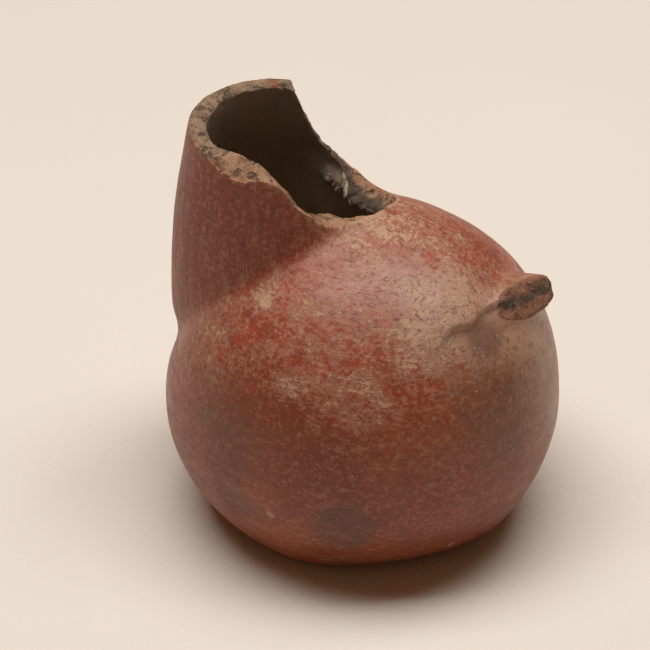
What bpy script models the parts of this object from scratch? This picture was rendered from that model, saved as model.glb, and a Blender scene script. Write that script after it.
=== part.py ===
"""A hand-built, red-slipped jug: round hollow body, off-centre neck with a broken rim, stump of a handle.

+Z is up and the floor is at zero. +X runs from the neck towards the stump of the handle.
"""
import math

import bmesh
import bpy
import numpy as np

# Body: a slightly egg-shaped round, in metres
BODY_LENGTH = 0.1118
BODY_WIDTH = 0.1060
BODY_RISE = 0.0587
BODY_DROP = 0.0470
BODY_LEAN = 0.058
WIDEST_HEIGHT = 0.0348
BODY_WALL = 0.0060
FLOOR_THICKNESS = 0.0080
FLOOR_FILLET = 0.0080

# Neck: a tube that widens towards its foot, set on one side of the body
NECK_OFFSET_X = -0.0287
NECK_OFFSET_Y = 0.0089
RIM_LEAN_X = 0.0001
RIM_LEAN_Y = -0.0041
RIM_HEIGHT = 0.1168
NECK_FOOT_HEIGHT = 0.0560
RIM_RADIUS = 0.0227
NECK_FOOT_RADIUS = 0.0302
NECK_CURVE = 1.73
NECK_RUN_ON = 1.2
NECK_WALL = 0.0050

# Seam where the neck was luted on: a tight pinch on the outer side, a broad sweep towards the handle
SEAM_BLEND_TIGHT = 0.0025
SEAM_BLEND_BROAD = 0.0100
SEAM_PINCH_DEPTH = 0.0009
SEAM_PINCH_WIDTH = 0.0040

# Flats and swells left by the potter's hand: bearing and rise in degrees seen from the middle of the
# body, spread in degrees, height in metres (a flat is negative)
HAND_MARKS = (
    (-60.0, -52.0, 18.0, -0.0012),
    (-12.0, -36.0, 18.0, 0.0021),
    (-95.0, -50.0, 16.0, 0.0017),
    (72.0, 47.0, 16.0, -0.0008),
    (-120.0, 42.0, 26.0, 0.0009),
    (-36.0, 52.0, 12.0, 0.0008),
    (-29.0, 38.0, 10.0, -0.0008),
    (-6.0, 32.0, 9.0, 0.0010),
)

# Broken mouth: bearing in degrees about the heart of the jug, then the length of wall lost below the rim
# on the outer skin and on the inner skin; between 118 and 205 degrees the rim is whole
BROKEN_AWAY = (
    (118.0, 0.0, 0.0),
    (205.0, 0.0, 0.0),
    (218.0, 0.0010, 0.0010),
    (226.0, 0.0017, 0.0010),
    (233.0, 0.0022, 0.0004),
    (238.0, 0.0047, 0.0003),
    (253.0, 0.0048, 0.0018),
    (260.0, 0.0038, 0.0036),
    (271.0, 0.0047, 0.0078),
    (278.0, 0.0073, 0.0102),
    (285.0, 0.0122, 0.0144),
    (295.0, 0.0156, 0.0178),
    (305.0, 0.0191, 0.0192),
    (321.0, 0.0220, 0.0212),
    (330.0, 0.0218, 0.0230),
    (343.0, 0.0227, 0.0258),
    (353.0, 0.0245, 0.0300),
    (367.0, 0.0266, 0.0365),
    (386.0, 0.0305, 0.0375),
    (404.0, 0.0318, 0.0350),
    (424.0, 0.0284, 0.0270),
    (446.0, 0.0274, 0.0205),
    (457.0, 0.0250, 0.0178),
    (463.0, 0.0207, 0.0148),
    (469.0, 0.0142, 0.0094),
    (474.0, 0.0083, 0.0044),
    (477.0, 0.0030, 0.0010),
)
BREAK_JAG = 0.0004
BREAK_JAG_TURNS = (13, 19, 31)
BREAK_JAG_FADE = 0.0050

# Stump of the strap handle, set on the shoulder; the strap broke off askew
STUMP_BEARING = 5.0
STUMP_RISE = 41.8
STUMP_REACH = 0.0038
STUMP_ROOT_SINK = 0.0035
STUMP_WIDTH = 0.0226
STUMP_THICKNESS = 0.0105
STUMP_WIDTH_FLARE = 1.2
STUMP_THICKNESS_FLARE = 1.9
STUMP_ROLL = -12.0
STUMP_FACE_BEARING = -19.4
STUMP_FACE_RISE = 25.0
STUMP_FACE_HOLLOW = 0.0006
STUMP_SQUARENESS = 2.8

# Mesh fineness
COLUMNS = 64
WALL_ROWS = 28
FOOT_ROWS = 2
LIP_ROWS = 2
CAVITY_ROWS = 17
STUMP_SIDES = 24
STUMP_RINGS = 5
MERIDIAN_SAMPLES = 360
START_POLAR = 0.02
SOLVE_STEPS = 34
FAR_OUT = 0.25
PROBE = 1e-5
TINY = 1e-6
SHARP_EDGE = 40.0

CLAY_COLOUR = (0.23, 0.072, 0.045, 1.0)
CLAY_ROUGHNESS = 0.55

BODY_CENTRE = np.array([0.0, 0.0, WIDEST_HEIGHT])
NECK_FOOT = np.array([NECK_OFFSET_X, NECK_OFFSET_Y, NECK_FOOT_HEIGHT])
RIM_CENTRE = np.array([NECK_OFFSET_X + RIM_LEAN_X, NECK_OFFSET_Y + RIM_LEAN_Y, RIM_HEIGHT])
HEART_SHARE = 0.7
HEART = np.array([HEART_SHARE * NECK_OFFSET_X, HEART_SHARE * NECK_OFFSET_Y, WIDEST_HEIGHT])


def direction(bearing, rise):
    """Unit vector at a bearing about +Z and a rise above the level plane, in degrees."""
    turn = math.radians(bearing)
    lift = math.radians(rise)
    return np.array([math.cos(lift) * math.cos(turn), math.cos(lift) * math.sin(turn), math.sin(lift)])


def hand_marks(points):
    """Height that the flats and swells add to the wall at each point."""
    away = points - BODY_CENTRE
    away = away / np.maximum(np.linalg.norm(away, axis=-1, keepdims=True), TINY)
    height = np.zeros(points.shape[:-1])
    for bearing, rise, spread, depth in HAND_MARKS:
        angle = np.arccos(np.clip(away @ direction(bearing, rise), -1.0, 1.0))
        height += depth * np.exp(-(angle / math.radians(spread)) ** 2)
    return height


def body_gap(points):
    """How far points lie outside the round body, in metres; negative inside."""
    away = points - BODY_CENTRE
    away = away - away[..., 2:3] * np.array([BODY_LEAN, 0.0, 0.0])
    half_height = np.where(away[..., 2] > 0.0, BODY_RISE, BODY_DROP)
    half = np.stack([np.full_like(half_height, BODY_LENGTH / 2.0),
                     np.full_like(half_height, BODY_WIDTH / 2.0), half_height], axis=-1)
    ratio = np.linalg.norm(away / half, axis=-1)
    slope = np.maximum(np.linalg.norm(away / half ** 2, axis=-1), TINY)
    return ratio * (ratio - 1.0) / slope - hand_marks(points)


def neck_gap(points):
    """How far points lie outside the neck, in metres; the neck is round below its foot and open above."""
    share = (points[..., 2] - NECK_FOOT_HEIGHT) / (RIM_HEIGHT - NECK_FOOT_HEIGHT)
    along = np.clip(share, 0.0, NECK_RUN_ON)[..., None]
    axis = NECK_FOOT + along * (RIM_CENTRE - NECK_FOOT)
    radius = NECK_FOOT_RADIUS + (RIM_RADIUS - NECK_FOOT_RADIUS) * along[..., 0] ** NECK_CURVE
    below = np.minimum(points[..., 2] - NECK_FOOT_HEIGHT, 0.0)
    level = np.hypot(points[..., 0] - axis[..., 0], points[..., 1] - axis[..., 1])
    return np.hypot(level, below) - radius


def wall_gap(points, body_inset=0.0, neck_inset=0.0):
    """How far points lie outside the blended body and neck, set in by the given walls."""
    body = body_gap(points) + body_inset
    neck = neck_gap(points) + neck_inset
    turn = np.arctan2(points[..., 1] - NECK_OFFSET_Y, points[..., 0] - NECK_OFFSET_X)
    towards_handle = (0.5 + 0.5 * np.cos(turn)) ** 2
    blend = SEAM_BLEND_TIGHT + (SEAM_BLEND_BROAD - SEAM_BLEND_TIGHT) * towards_handle
    mix = np.clip(0.5 + 0.5 * (neck - body) / blend, 0.0, 1.0)
    joined = neck + (body - neck) * mix - blend * mix * (1.0 - mix)
    pinch = SEAM_PINCH_DEPTH * (1.0 - towards_handle) * np.exp(-((body - neck) / SEAM_PINCH_WIDTH) ** 2)
    return joined + pinch


def outer_gap(points):
    """Distance outside the jug's outer skin."""
    return wall_gap(points)


def inner_gap(points):
    """Distance outside the hollow, which has a level floor with a rounded corner."""
    wall = wall_gap(points, BODY_WALL, NECK_WALL)
    floor = FLOOR_THICKNESS - points[..., 2]
    mix = np.clip(0.5 - 0.5 * (floor - wall) / FLOOR_FILLET, 0.0, 1.0)
    return floor + (wall - floor) * mix + FLOOR_FILLET * mix * (1.0 - mix)


def cast(gap, bearings, polars):
    """Points where rays from the heart leave a skin; bearings and polars are arrays of one shape."""
    rays = np.stack([np.sin(polars) * np.cos(bearings), np.sin(polars) * np.sin(bearings),
                     np.cos(polars)], axis=-1)
    near = np.zeros(polars.shape)
    far = np.full(polars.shape, FAR_OUT)
    for _ in range(SOLVE_STEPS):
        middle = 0.5 * (near + far)
        inside = gap(HEART + rays * middle[..., None]) < 0.0
        near = np.where(inside, middle, near)
        far = np.where(inside, far, middle)
    reach = 0.5 * (near + far)
    to_floor = np.where(rays[..., 2] < -TINY, HEART[2] / np.maximum(-rays[..., 2], TINY), FAR_OUT)
    reach = np.minimum(reach, to_floor)
    return HEART + rays * reach[..., None]


class Meridian:
    """One side of a skin in a plane through the heart, measured along its length from the rim."""

    def __init__(self, gap, bearing):
        self.gap = gap
        self.bearing = bearing
        polars = np.linspace(START_POLAR, math.pi, MERIDIAN_SAMPLES)
        points = cast(gap, np.full_like(polars, bearing), polars)
        above = points[:, 2] > RIM_HEIGHT
        first = int(np.argmin(above))
        share = (points[first - 1, 2] - RIM_HEIGHT) / (points[first - 1, 2] - points[first, 2])
        start = polars[first - 1] + share * (polars[first] - polars[first - 1])
        polars[first - 1] = start
        resting = np.nonzero(points[:, 2] <= TINY)[0]
        if len(resting):
            polars[resting[0]] = self.foot_polar(polars[resting[0] - 1], polars[resting[0]])
            self.foot_row = resting[0] - first + 1
        self.polars = polars[first - 1:]
        self.points = cast(gap, np.full_like(self.polars, bearing), self.polars)
        steps = np.linalg.norm(np.diff(self.points, axis=0), axis=1)
        self.lengths = np.concatenate([[0.0], np.cumsum(steps)])

    def at(self, lengths):
        """Points of the skin at the given lengths below the rim."""
        polars = np.interp(lengths, self.lengths, self.polars)
        return cast(self.gap, np.full_like(polars, self.bearing), polars)

    def foot_polar(self, raised, resting):
        """Polar angle at which the skin comes down to the level it stands on."""
        for _ in range(SOLVE_STEPS):
            middle = 0.5 * (raised + resting)
            if cast(self.gap, np.array([self.bearing]), np.array([middle]))[0, 2] > TINY:
                raised = middle
            else:
                resting = middle
        return resting

    def foot_length(self):
        """Length at which the skin comes down to the level it stands on."""
        return float(self.lengths[self.foot_row])


def broken_lengths(bearing):
    """Lengths of outer and inner skin lost below the rim at a bearing in radians."""
    turn = math.degrees(bearing) % 360.0
    marks = [mark[0] for mark in BROKEN_AWAY]
    outer = float(np.interp(turn, marks, [mark[1] for mark in BROKEN_AWAY], period=360.0))
    inner = float(np.interp(turn, marks, [mark[2] for mark in BROKEN_AWAY], period=360.0))
    jag = sum(math.sin(turns * bearing + turns) for turns in BREAK_JAG_TURNS) * BREAK_JAG
    jag *= min(1.0, outer / BREAK_JAG_FADE)
    return max(0.0, outer + jag), max(0.0, inner + jag)


def vessel_columns():
    """Columns of points, each from the foot's rim up the outside, over the lip and down the hollow."""
    columns = []
    for bearing in np.linspace(0.0, 2.0 * math.pi, COLUMNS, endpoint=False):
        outside = Meridian(outer_gap, bearing)
        inside = Meridian(inner_gap, bearing)
        outer_edge, inner_edge = broken_lengths(bearing)
        foot = outside.foot_length()
        under = np.linspace(outside.lengths[-1], foot, FOOT_ROWS + 1)[1:]
        wall = np.linspace(foot, outer_edge, WALL_ROWS + 1)[1:]
        outer = outside.at(np.concatenate([under, wall]))
        cavity = inside.at(np.linspace(inner_edge, inside.lengths[-1], CAVITY_ROWS + 1)[:-1])
        shares = np.linspace(0.0, 1.0, LIP_ROWS + 2)[1:-1, None]
        lip = outer[-1] + shares * (cavity[0] - outer[-1])
        columns.append(np.concatenate([outer, lip, cavity]))
    return np.array(columns)


def skin_between(rings, closed_start, closed_end, name):
    """Mesh that runs over rings of points and closes on a point at each end."""
    sides = len(rings[0])
    shape = bmesh.new()
    loops = [[shape.verts.new(point) for point in ring] for ring in rings]
    for lower, upper in zip(loops, loops[1:]):
        for side in range(sides):
            after = (side + 1) % sides
            shape.faces.new((lower[side], lower[after], upper[after], upper[side]))
    for loop, point in ((loops[0], closed_start), (loops[-1], closed_end)):
        middle = shape.verts.new(point)
        for side in range(sides):
            shape.faces.new((middle, loop[(side + 1) % sides], loop[side]))
    bmesh.ops.recalc_face_normals(shape, faces=shape.faces)
    mesh = bpy.data.meshes.new(name)
    shape.to_mesh(mesh)
    shape.free()
    return mesh


def vessel_mesh():
    """Body, neck and hollow as one skin."""
    columns = vessel_columns()
    rings = [columns[:, row] for row in range(columns.shape[1])]
    under = np.array([HEART[0], HEART[1], 0.0])
    floor = cast(inner_gap, np.array([0.0]), np.array([math.pi]))[0]
    return skin_between(rings, under, floor, "vessel")


def skin_normal(point):
    """Unit vector square to the outer skin at a point."""
    slope = [outer_gap(point + PROBE * axis) - outer_gap(point - PROBE * axis) for axis in np.eye(3)]
    return np.array(slope) / np.linalg.norm(slope)


def shoulder_point():
    """Place on the shoulder where the stump stands."""
    ray = direction(STUMP_BEARING, STUMP_RISE)
    near, far = 0.0, FAR_OUT
    for _ in range(SOLVE_STEPS):
        middle = 0.5 * (near + far)
        if outer_gap(BODY_CENTRE + ray * middle) < 0.0:
            near = middle
        else:
            far = middle
    return BODY_CENTRE + ray * near


def section_axes(normal):
    """Long and short axis of the strap in a plane square to a normal, turned by the strap's roll."""
    level = np.cross([0.0, 0.0, 1.0], normal)
    level = level / np.linalg.norm(level)
    rise = np.cross(normal, level)
    roll = math.radians(STUMP_ROLL)
    return (math.cos(roll) * level + math.sin(roll) * rise,
            math.cos(roll) * rise - math.sin(roll) * level)


def stump_mesh():
    """Stump of the strap: from a broad root in the wall to the askew broken face."""
    place = shoulder_point()
    root_normal = skin_normal(place)
    face_normal = direction(STUMP_FACE_BEARING, STUMP_FACE_RISE)
    root = place - root_normal * STUMP_ROOT_SINK
    face = place + root_normal * STUMP_REACH
    root_long, root_short = section_axes(root_normal)
    face_long, face_short = section_axes(face_normal)
    turns = np.linspace(0.0, 2.0 * math.pi, STUMP_SIDES, endpoint=False)
    power = 2.0 / STUMP_SQUARENESS
    across = np.sign(np.cos(turns)) * np.abs(np.cos(turns)) ** power
    through = np.sign(np.sin(turns)) * np.abs(np.sin(turns)) ** power
    rings = []
    for share in np.linspace(0.0, 1.0, STUMP_RINGS):
        wider = 1.0 + (STUMP_WIDTH_FLARE - 1.0) * (1.0 - share) ** 2
        thicker = 1.0 + (STUMP_THICKNESS_FLARE - 1.0) * (1.0 - share) ** 2
        centre = root + share * (face - root)
        long_axis = root_long + share * (face_long - root_long)
        short_axis = root_short + share * (face_short - root_short)
        rings.append(centre + np.outer(across, long_axis) * wider * STUMP_WIDTH / 2.0
                     + np.outer(through, short_axis) * thicker * STUMP_THICKNESS / 2.0)
    return skin_between(rings, root, face - face_normal * STUMP_FACE_HOLLOW, "stump")


def clay():
    """Red-slipped fired clay."""
    material = bpy.data.materials.new("fired_clay")
    material.use_nodes = True
    shader = material.node_tree.nodes["Principled BSDF"]
    shader.inputs["Base Color"].default_value = CLAY_COLOUR
    shader.inputs["Roughness"].default_value = CLAY_ROUGHNESS
    shader.inputs["Metallic"].default_value = 0.0
    return material


def collection(name):
    """New collection in the scene."""
    made = bpy.data.collections.new(name)
    bpy.context.scene.collection.children.link(made)
    return made


def main():
    """Build the jug in an empty scene."""
    for thing in list(bpy.data.objects):
        bpy.data.objects.remove(thing, do_unlink=True)
    parts = collection("jug")
    cutters = collection("cutters")

    jug = bpy.data.objects.new("jug", vessel_mesh())
    jug.data.materials.append(clay())
    parts.objects.link(jug)

    stump = bpy.data.objects.new("handle_stump", stump_mesh())
    stump.hide_render = True
    stump.display_type = "WIRE"
    cutters.objects.link(stump)

    join = jug.modifiers.new("luted handle", "BOOLEAN")
    join.operation = "UNION"
    join.solver = "EXACT"
    join.object = stump

    jug.data.shade_smooth()
    jug.data.set_sharp_from_angle(angle=math.radians(SHARP_EDGE))


main()
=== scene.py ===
"""The jug dressed: its slipped and burnished skin, its breaks, its bare hollow and the stump of the handle.

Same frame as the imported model: metres, +Z up, the floor at zero, +X from the neck towards the handle.
"""
import math

import bpy
import numpy as np
from mathutils import Matrix, Vector, noise


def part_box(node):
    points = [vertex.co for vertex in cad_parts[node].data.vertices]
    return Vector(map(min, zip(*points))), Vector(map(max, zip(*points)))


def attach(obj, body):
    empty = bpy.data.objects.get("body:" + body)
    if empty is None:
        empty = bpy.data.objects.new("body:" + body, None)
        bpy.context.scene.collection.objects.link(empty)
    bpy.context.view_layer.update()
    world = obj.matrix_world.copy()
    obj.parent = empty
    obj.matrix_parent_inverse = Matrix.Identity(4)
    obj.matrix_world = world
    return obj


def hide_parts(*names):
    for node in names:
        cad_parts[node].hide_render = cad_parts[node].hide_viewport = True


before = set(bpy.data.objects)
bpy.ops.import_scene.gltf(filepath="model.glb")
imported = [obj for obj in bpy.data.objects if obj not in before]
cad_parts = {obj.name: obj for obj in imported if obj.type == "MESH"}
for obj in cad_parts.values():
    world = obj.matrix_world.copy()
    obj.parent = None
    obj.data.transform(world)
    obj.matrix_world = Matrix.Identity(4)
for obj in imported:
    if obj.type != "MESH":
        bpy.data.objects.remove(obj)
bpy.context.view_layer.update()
JUG_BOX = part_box("jug")

# Body: a slightly egg-shaped round, the same values as the solid's
BODY_LENGTH = 0.1118
BODY_WIDTH = 0.1060
BODY_RISE = 0.0587
BODY_DROP = 0.0470
BODY_LEAN = 0.058
WIDEST_HEIGHT = 0.0348
BODY_WALL = 0.0060
FLOOR_THICKNESS = 0.0080
FLOOR_FILLET = 0.0080
FOOT_ROUNDING = 0.0030

# Neck
NECK_OFFSET_X = -0.0287
NECK_OFFSET_Y = 0.0089
RIM_LEAN_X = 0.0001
RIM_LEAN_Y = -0.0041
RIM_HEIGHT = JUG_BOX[1][2]
NECK_FOOT_HEIGHT = 0.0560
RIM_RADIUS = 0.0227
NECK_FOOT_RADIUS = 0.0302
NECK_CURVE = 1.73
NECK_RUN_ON = 1.2
NECK_WALL = 0.0050

# Seam where the neck was luted on
SEAM_BLEND_TIGHT = 0.0025
SEAM_BLEND_BROAD = 0.0100
SEAM_PINCH_DEPTH = 0.0009
SEAM_PINCH_WIDTH = 0.0040

# Flats and swells left by the hand: bearing and rise in degrees about the body's middle, spread in
# degrees, height in metres
HAND_MARKS = (
    (-60.0, -52.0, 18.0, -0.0012),
    (-12.0, -36.0, 18.0, 0.0021),
    (-95.0, -50.0, 16.0, 0.0017),
    (72.0, 47.0, 16.0, -0.0008),
    (-120.0, 42.0, 26.0, 0.0009),
    (-36.0, 52.0, 12.0, 0.0008),
    (-29.0, 38.0, 10.0, -0.0008),
    (-6.0, 32.0, 9.0, 0.0010),
)

# Broken mouth: bearing in degrees about the heart of the jug, then the length of wall lost below the rim
# on the outer skin and on the inner skin
BROKEN_AWAY = (
    (118.0, 0.0, 0.0),
    (205.0, 0.0, 0.0),
    (218.0, 0.0010, 0.0010),
    (226.0, 0.0017, 0.0010),
    (233.0, 0.0022, 0.0004),
    (238.0, 0.0047, 0.0003),
    (253.0, 0.0048, 0.0018),
    (260.0, 0.0038, 0.0036),
    (271.0, 0.0047, 0.0078),
    (278.0, 0.0073, 0.0102),
    (285.0, 0.0122, 0.0144),
    (295.0, 0.0156, 0.0178),
    (305.0, 0.0191, 0.0192),
    (321.0, 0.0220, 0.0212),
    (330.0, 0.0218, 0.0230),
    (343.0, 0.0227, 0.0258),
    (353.0, 0.0245, 0.0300),
    (367.0, 0.0266, 0.0365),
    (386.0, 0.0305, 0.0375),
    (404.0, 0.0318, 0.0350),
    (424.0, 0.0284, 0.0270),
    (446.0, 0.0274, 0.0205),
    (457.0, 0.0250, 0.0178),
    (463.0, 0.0207, 0.0148),
    (469.0, 0.0142, 0.0094),
    (474.0, 0.0083, 0.0044),
    (477.0, 0.0030, 0.0010),
)

# Jags of the break: turns of the noise round the mouth, and height
JAGS = ((9.0, 0.0009), (23.0, 0.0005), (60.0, 0.00025))
JAG_SCALE = 9.0
JAG_SEEDS = (3.0, 11.0)
JAG_FADE = 0.0040
BROKEN_FROM = (0.0004, 0.0012)
WORN_LIP = 0.0008
BROKEN_LIP = 0.0003
LIP_SQUARENESS = 3.0

# Stump of the strap handle
STUMP_BEARING = 5.0
STUMP_RISE = 41.8
STUMP_REACH = 0.0038
STUMP_ROOT_SINK = 0.0035
STUMP_WIDTH = 0.0226
STUMP_THICKNESS = 0.0105
STUMP_WIDTH_FLARE = 1.2
STUMP_THICKNESS_FLARE = 1.9
STUMP_ROLL = -12.0
STUMP_FACE_BEARING = -19.4
STUMP_FACE_RISE = 25.0
STUMP_SQUARENESS = 2.8
STUMP_FILLET = 0.0030
STUMP_CORNER = 0.0010
STUMP_NEAR = 0.030
STUMP_RUN_ON = 1.3
FACE_BREAK = (-0.0012, -0.0002)
SIDE_BREAK = (0.0012, -0.0008)
CORE_OFFSET = 0.0004
CORE_WIDTH = 0.0019
STUMP_SOLVES = 4

# Relief on the skins, as height and size of the marks in metres
LUMPS = ((0.00030, 0.026), (0.00012, 0.009), (0.00004, 0.0035))
FRACTURE_RELIEF = ((0.00055, 0.0032), (0.00034, 0.0013), (0.00022, 0.0007))
HOLLOW_RELIEF = ((0.00060, 0.0120), (0.00022, 0.0040), (0.00010, 0.0016))
WORN_RIM_SHARE = 0.45
SLIGHT = 0.01
SKIN_SEED = 1.0
FRACTURE_SEED = 5.0
HOLLOW_SEED = 9.0
SMOOTH_FOOT = 0.004
NECK_FADE = 0.003

# The rim that is left and the far side of the break, as bearings about the heart in degrees
RIM_MIDDLE = 170.0
RIM_HALF = 56.0
RIM_FADE = 6.0
FAR_SIDE_BEARINGS = (4.0, 30.0, 92.0, 110.0)

# Mesh fineness
COLUMNS = 400
OUTER_ROWS = 168
LIP_ROWS = 12
CAVITY_ROWS = 44
MERIDIAN_SAMPLES = 320
SOLVE_STEPS = 30
START_POLAR = 0.02
FAR_OUT = 0.25
POLE_GAP = 0.0012
TINY = 1e-6

# Where columns and rows of the mesh crowd: how much closer, over what reach in degrees or metres
BEARING_SAMPLES = 721
STUMP_COLUMNS = (1.3, 13.0)
BREAK_ROWS = (1.2, 0.005)
STUMP_ROWS = (1.3, 0.014)
UNDER_ROWS = (0.25, 0.0005)
MOUTH_ROWS = (2.0, 0.02)
DEEP_ROWS = 0.5

# Round scar low on the front, flats beside it, and the rough ledge of clay inside, round the foot of
# the neck
SCAR_PLACE = (0.0122, -0.0508, 0.0268)
SCAR_RADIUS = 0.0092
SCAR_DEPTH = 0.0009
SCAR_EDGE = (1.03, 0.90)
SCAR_LOW_SIDE = 0.3
FLAT_EDGE = (1.1, 0.3)
FLATS = (((-0.0200, -0.0485, 0.0270), 0.0075, 0.0004), ((0.0020, -0.0520, 0.0440), 0.0160, 0.0003))
LEDGE_HEIGHT = 0.0030
LEDGE_LEVEL = 0.0870
LEDGE_SPREAD = 0.0036
LEDGE_BEARINGS = (28.0, 44.0, 82.0, 104.0)
LEDGE_BASE = 0.75
LEDGE_LUMPS = ((0.9, 0.006), (0.6, 0.0022), (0.35, 0.0011))
LEDGE_SEED = 21.0
LEDGE_SHOWN = 0.8

# Edge of the clay smeared over the root of the handle: it ends in a low step that runs down the front
SHELF_START = (0.0402, -0.0069)
SHELF_END = (0.0321, -0.0238)
SHELF_HEIGHT = 0.0013
SHELF_FADE = 0.0090
SHELF_DIP = 0.0005
SHELF_LOWEST = 0.06
SHELF_WANDER = 0.0006
SHELF_WAVES = 9.0

# Colours of the fired clay
SLIP_RED = (0.340, 0.056, 0.023)
SLIP_DARK = (0.210, 0.041, 0.016)
SLIP_BRIGHT = (0.40, 0.050, 0.026)
SLIP_LOW = (0.340, 0.074, 0.029)
SLIP_THIN = (0.385, 0.160, 0.100)
BARE_BUFF = (0.50, 0.300, 0.175)
SMOKE = (0.115, 0.060, 0.034)
SPECK_TAN = (0.400, 0.205, 0.125)
SPECK_DARK = (0.170, 0.048, 0.026)
# Dark of the scar, and of the painted shadow along the upper right edge of its dent
SCAR_DARK_AND_RIM_SHADOW = (0.095, 0.050, 0.034)
BARE_BROWN = (0.180, 0.074, 0.038)
# Brown of the dark specks on the pale patch, and of the painted shadow below the shelf's step
SPECK_AND_SHADOW_BROWN = (0.130, 0.050, 0.034)
BARE_TAN = (0.40, 0.240, 0.145)
PALE_PINK = (0.48, 0.290, 0.195)
FRACTURE_BUFF = (0.40, 0.215, 0.125)
FRACTURE_ORANGE = (0.420, 0.165, 0.075)
FRACTURE_BROWN = (0.225, 0.105, 0.060)
FRACTURE_RED = (0.330, 0.125, 0.075)
FRACTURE_CORE = (0.072, 0.056, 0.038)
RIM_GREY = (0.150, 0.095, 0.060)
RIM_BUFF = (0.325, 0.190, 0.112)
RIM_PIT = (0.07, 0.048, 0.035)
HOLLOW_DARK = (0.360, 0.280, 0.215)
HOLLOW_BROWN = (0.470, 0.350, 0.240)
HOLLOW_SMOKED = (0.215, 0.160, 0.125)
# Tan painted as light on the lit crest of the ledge inside
LEDGE_LIT_TAN = (0.330, 0.190, 0.105)
GRIT_WHITE = (0.62, 0.52, 0.42)
STAIN_GREEN = (0.050, 0.058, 0.036)

# Worn, bare and smoked places on the slip, and places where shade or a highlight is painted: place, radius,
# softness, raggedness
# Wear on the shoulder, set where the highlight falls: partly real wear, partly a painted highlight of paler
# thin slip
SHOULDER_WORN_AND_HIGHLIGHT = ((0.008, -0.020, 0.088), 0.030, 0.60, 0.30)
HANDLE_BARE = ((0.030, -0.022, 0.080), 0.012, 0.60, 0.45)
BREAK_BARE = ((0.006, 0.004, 0.096), 0.017, 0.60, 0.45)
CREASE_BARE = ((-0.0205, -0.0265, 0.0815), 0.0045, 0.60, 0.40)
FRONT_WORN = ((0.0135, -0.0445, 0.0635), 0.0100, 0.60, 0.50)
FRONT_SMALL = ((-0.0055, -0.0445, 0.0660), 0.0050, 0.60, 0.50)
LEFT_WORN = ((-0.036, -0.030, 0.064), 0.012, 0.80, 0.45)
RIGHT_BROWN = ((0.048, -0.016, 0.057), 0.0195, 0.45, 0.30)
STUMP_FOOT_BARE = ((0.0470, -0.0020, 0.0720), 0.0135, 0.50, 0.35)
PALE_PATCH = ((0.0305, -0.0160, 0.0810), 0.0145, 0.55, 0.45)
RIGHT_SIDE_BARE = ((0.057, 0.010, 0.050), 0.021, 0.50, 0.30)
LEFT_SMOKE = ((-0.026, -0.046, 0.048), 0.014, 0.80, 0.30)
# Painted shadow: dark brown below the step at the edge of the smeared shelf
SHELF_PAINTED_SHADOW = ((0.0398, -0.0140, 0.0735), 0.0055, 0.50, 0.15)
CHIPS = (
    ((-0.0186, -0.0274, 0.0806), 0.0019, 0.40, 0.25),
    ((-0.0085, -0.0516, 0.0267), 0.0011, 0.50, 0.30),
    ((0.0365, -0.0290, 0.0113), 0.0011, 0.50, 0.30),
)
SCAR_SMOKE = (SCAR_PLACE, 0.0088, 0.22, 0.16)
# Rings and side for the painted shadow along the scar's upper right edge
SCAR_OUTER = (SCAR_PLACE, 0.0096, 0.05, 0.02)
SCAR_INNER = (SCAR_PLACE, 0.0085, 0.10, 0.02)
SCAR_UPPER_RIGHT = ((0.0180, -0.0485, 0.0325), 0.0075, 0.40, 0.10)
LOW_SMOKE = ((-0.020, -0.0485, 0.0265), 0.0070, 0.50, 0.15)
BACK_SMOKE = ((0.015, 0.050, 0.045), 0.024, 0.70, 0.30)
LIP_STAIN = ((-0.0338, -0.0170, 0.1168), 0.0016, 0.50, 0.30)

# How much the slip is worn: everywhere, on the upper body, on the neck, along the break and at places
LEAST_WEAR = 0.05
UPPER_WEAR = 0.17
NECK_WEAR = 0.07
EDGE_WEAR = 0.30
WORN_PLACES = (
    # The shoulder's share is partly real wear, partly a painted highlight
    ((SHOULDER_WORN_AND_HIGHLIGHT,), 0.13),
    ((BREAK_BARE, CREASE_BARE, HANDLE_BARE), 0.24),
    ((FRONT_WORN, FRONT_SMALL, LEFT_WORN), 0.22),
)

# Tints laid over the worn slip, first the broad patches and then the small marks, among them a painted shadow
# below the shelf's step: places, tint, strength
PATCHES = (
    ((RIGHT_BROWN,), BARE_BROWN, 0.80),
    ((RIGHT_SIDE_BARE,), BARE_TAN, 0.60),
    ((STUMP_FOOT_BARE,), BARE_TAN, 0.70),
    ((PALE_PATCH,), PALE_PINK, 0.65),
)
MARKS = (
    (CHIPS, BARE_BUFF, 0.75),
    # Painted shadow below the shelf's step
    ((SHELF_PAINTED_SHADOW,), SPECK_AND_SHADOW_BROWN, 0.65),
    ((LEFT_SMOKE, LOW_SMOKE, BACK_SMOKE), SMOKE, 0.40),
    ((SCAR_SMOKE,), SCAR_DARK_AND_RIM_SHADOW, 0.45),
)

# Depth of the bumps on each clay and on the cloth
SLIP_BUMP = 0.00020
LIP_BUMP = 0.0009
HOLLOW_BUMP = 0.0004
WEAVE_BUMP = 0.00005

# Scale of the noise that makes the spots ragged
SPOT_GRAIN = 150.0

BODY_CENTRE = np.array([0.0, 0.0, WIDEST_HEIGHT])
NECK_FOOT = np.array([NECK_OFFSET_X, NECK_OFFSET_Y, NECK_FOOT_HEIGHT])
RIM_CENTRE = np.array([NECK_OFFSET_X + RIM_LEAN_X, NECK_OFFSET_Y + RIM_LEAN_Y, RIM_HEIGHT])
HEART_SHARE = 0.7
HEART = np.array([HEART_SHARE * NECK_OFFSET_X, HEART_SHARE * NECK_OFFSET_Y, WIDEST_HEIGHT])

# Camera: the photograph's place and angle
CAMERA_TURN = 20.0
CAMERA_ELEVATION = 36.37
CAMERA_DISTANCE = 1.2
AIM_ACROSS = -0.01051
AIM_HEIGHT = 0.0582
METRES_PER_PIXEL = 0.00028
PICTURE_WIDTH = 650
SENSOR_WIDTH = 36.0
NEAREST_VIEW = 0.01

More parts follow.
